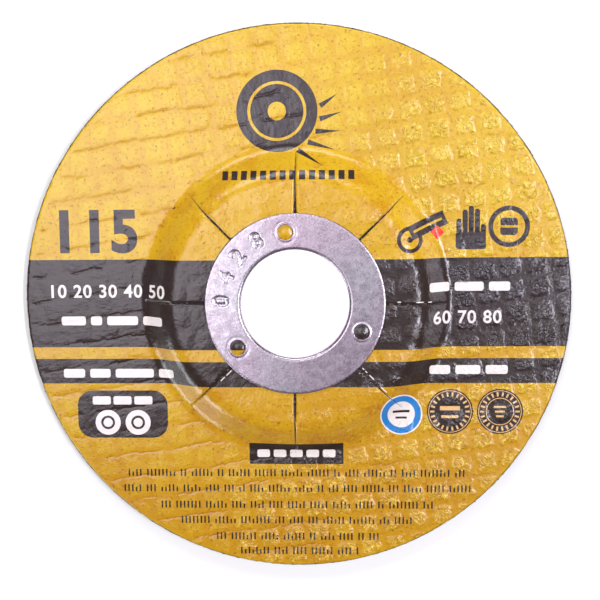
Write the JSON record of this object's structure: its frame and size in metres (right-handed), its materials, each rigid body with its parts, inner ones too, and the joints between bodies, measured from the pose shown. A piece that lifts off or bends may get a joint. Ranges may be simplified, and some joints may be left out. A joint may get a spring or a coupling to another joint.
{
  "type": "grinding wheel",
  "caption": "Depressed-centre grinding wheel: a thin reinforced abrasive disc with a paper label, a glass net behind and a pressed steel ring round its bore.",
  "frame": {"origin": "on the bore's axis, level with the rim's underside, which is the lowest point of the wheel lying flat", "axes": "+Z along the bore's axis towards the label; +Y towards the top of the label's print, +X to its right"},
  "size_m": [0.115, 0.115, 0.008],
  "materials": {
    "abrasive": "rough grit in dark resin",
    "glass_net": "woven glass yarn soaked in resin",
    "label_paper": "printed, glossy varnish",
    "tinplate": "pressed tinplate, dull"
  },
  "bodies": {
    "root": {"abrasive_disc": "abrasive", "rear_net": "glass_net", "paper_label": "label_paper", "hub_ring": "tinplate"}
  },
  "joints": []
}
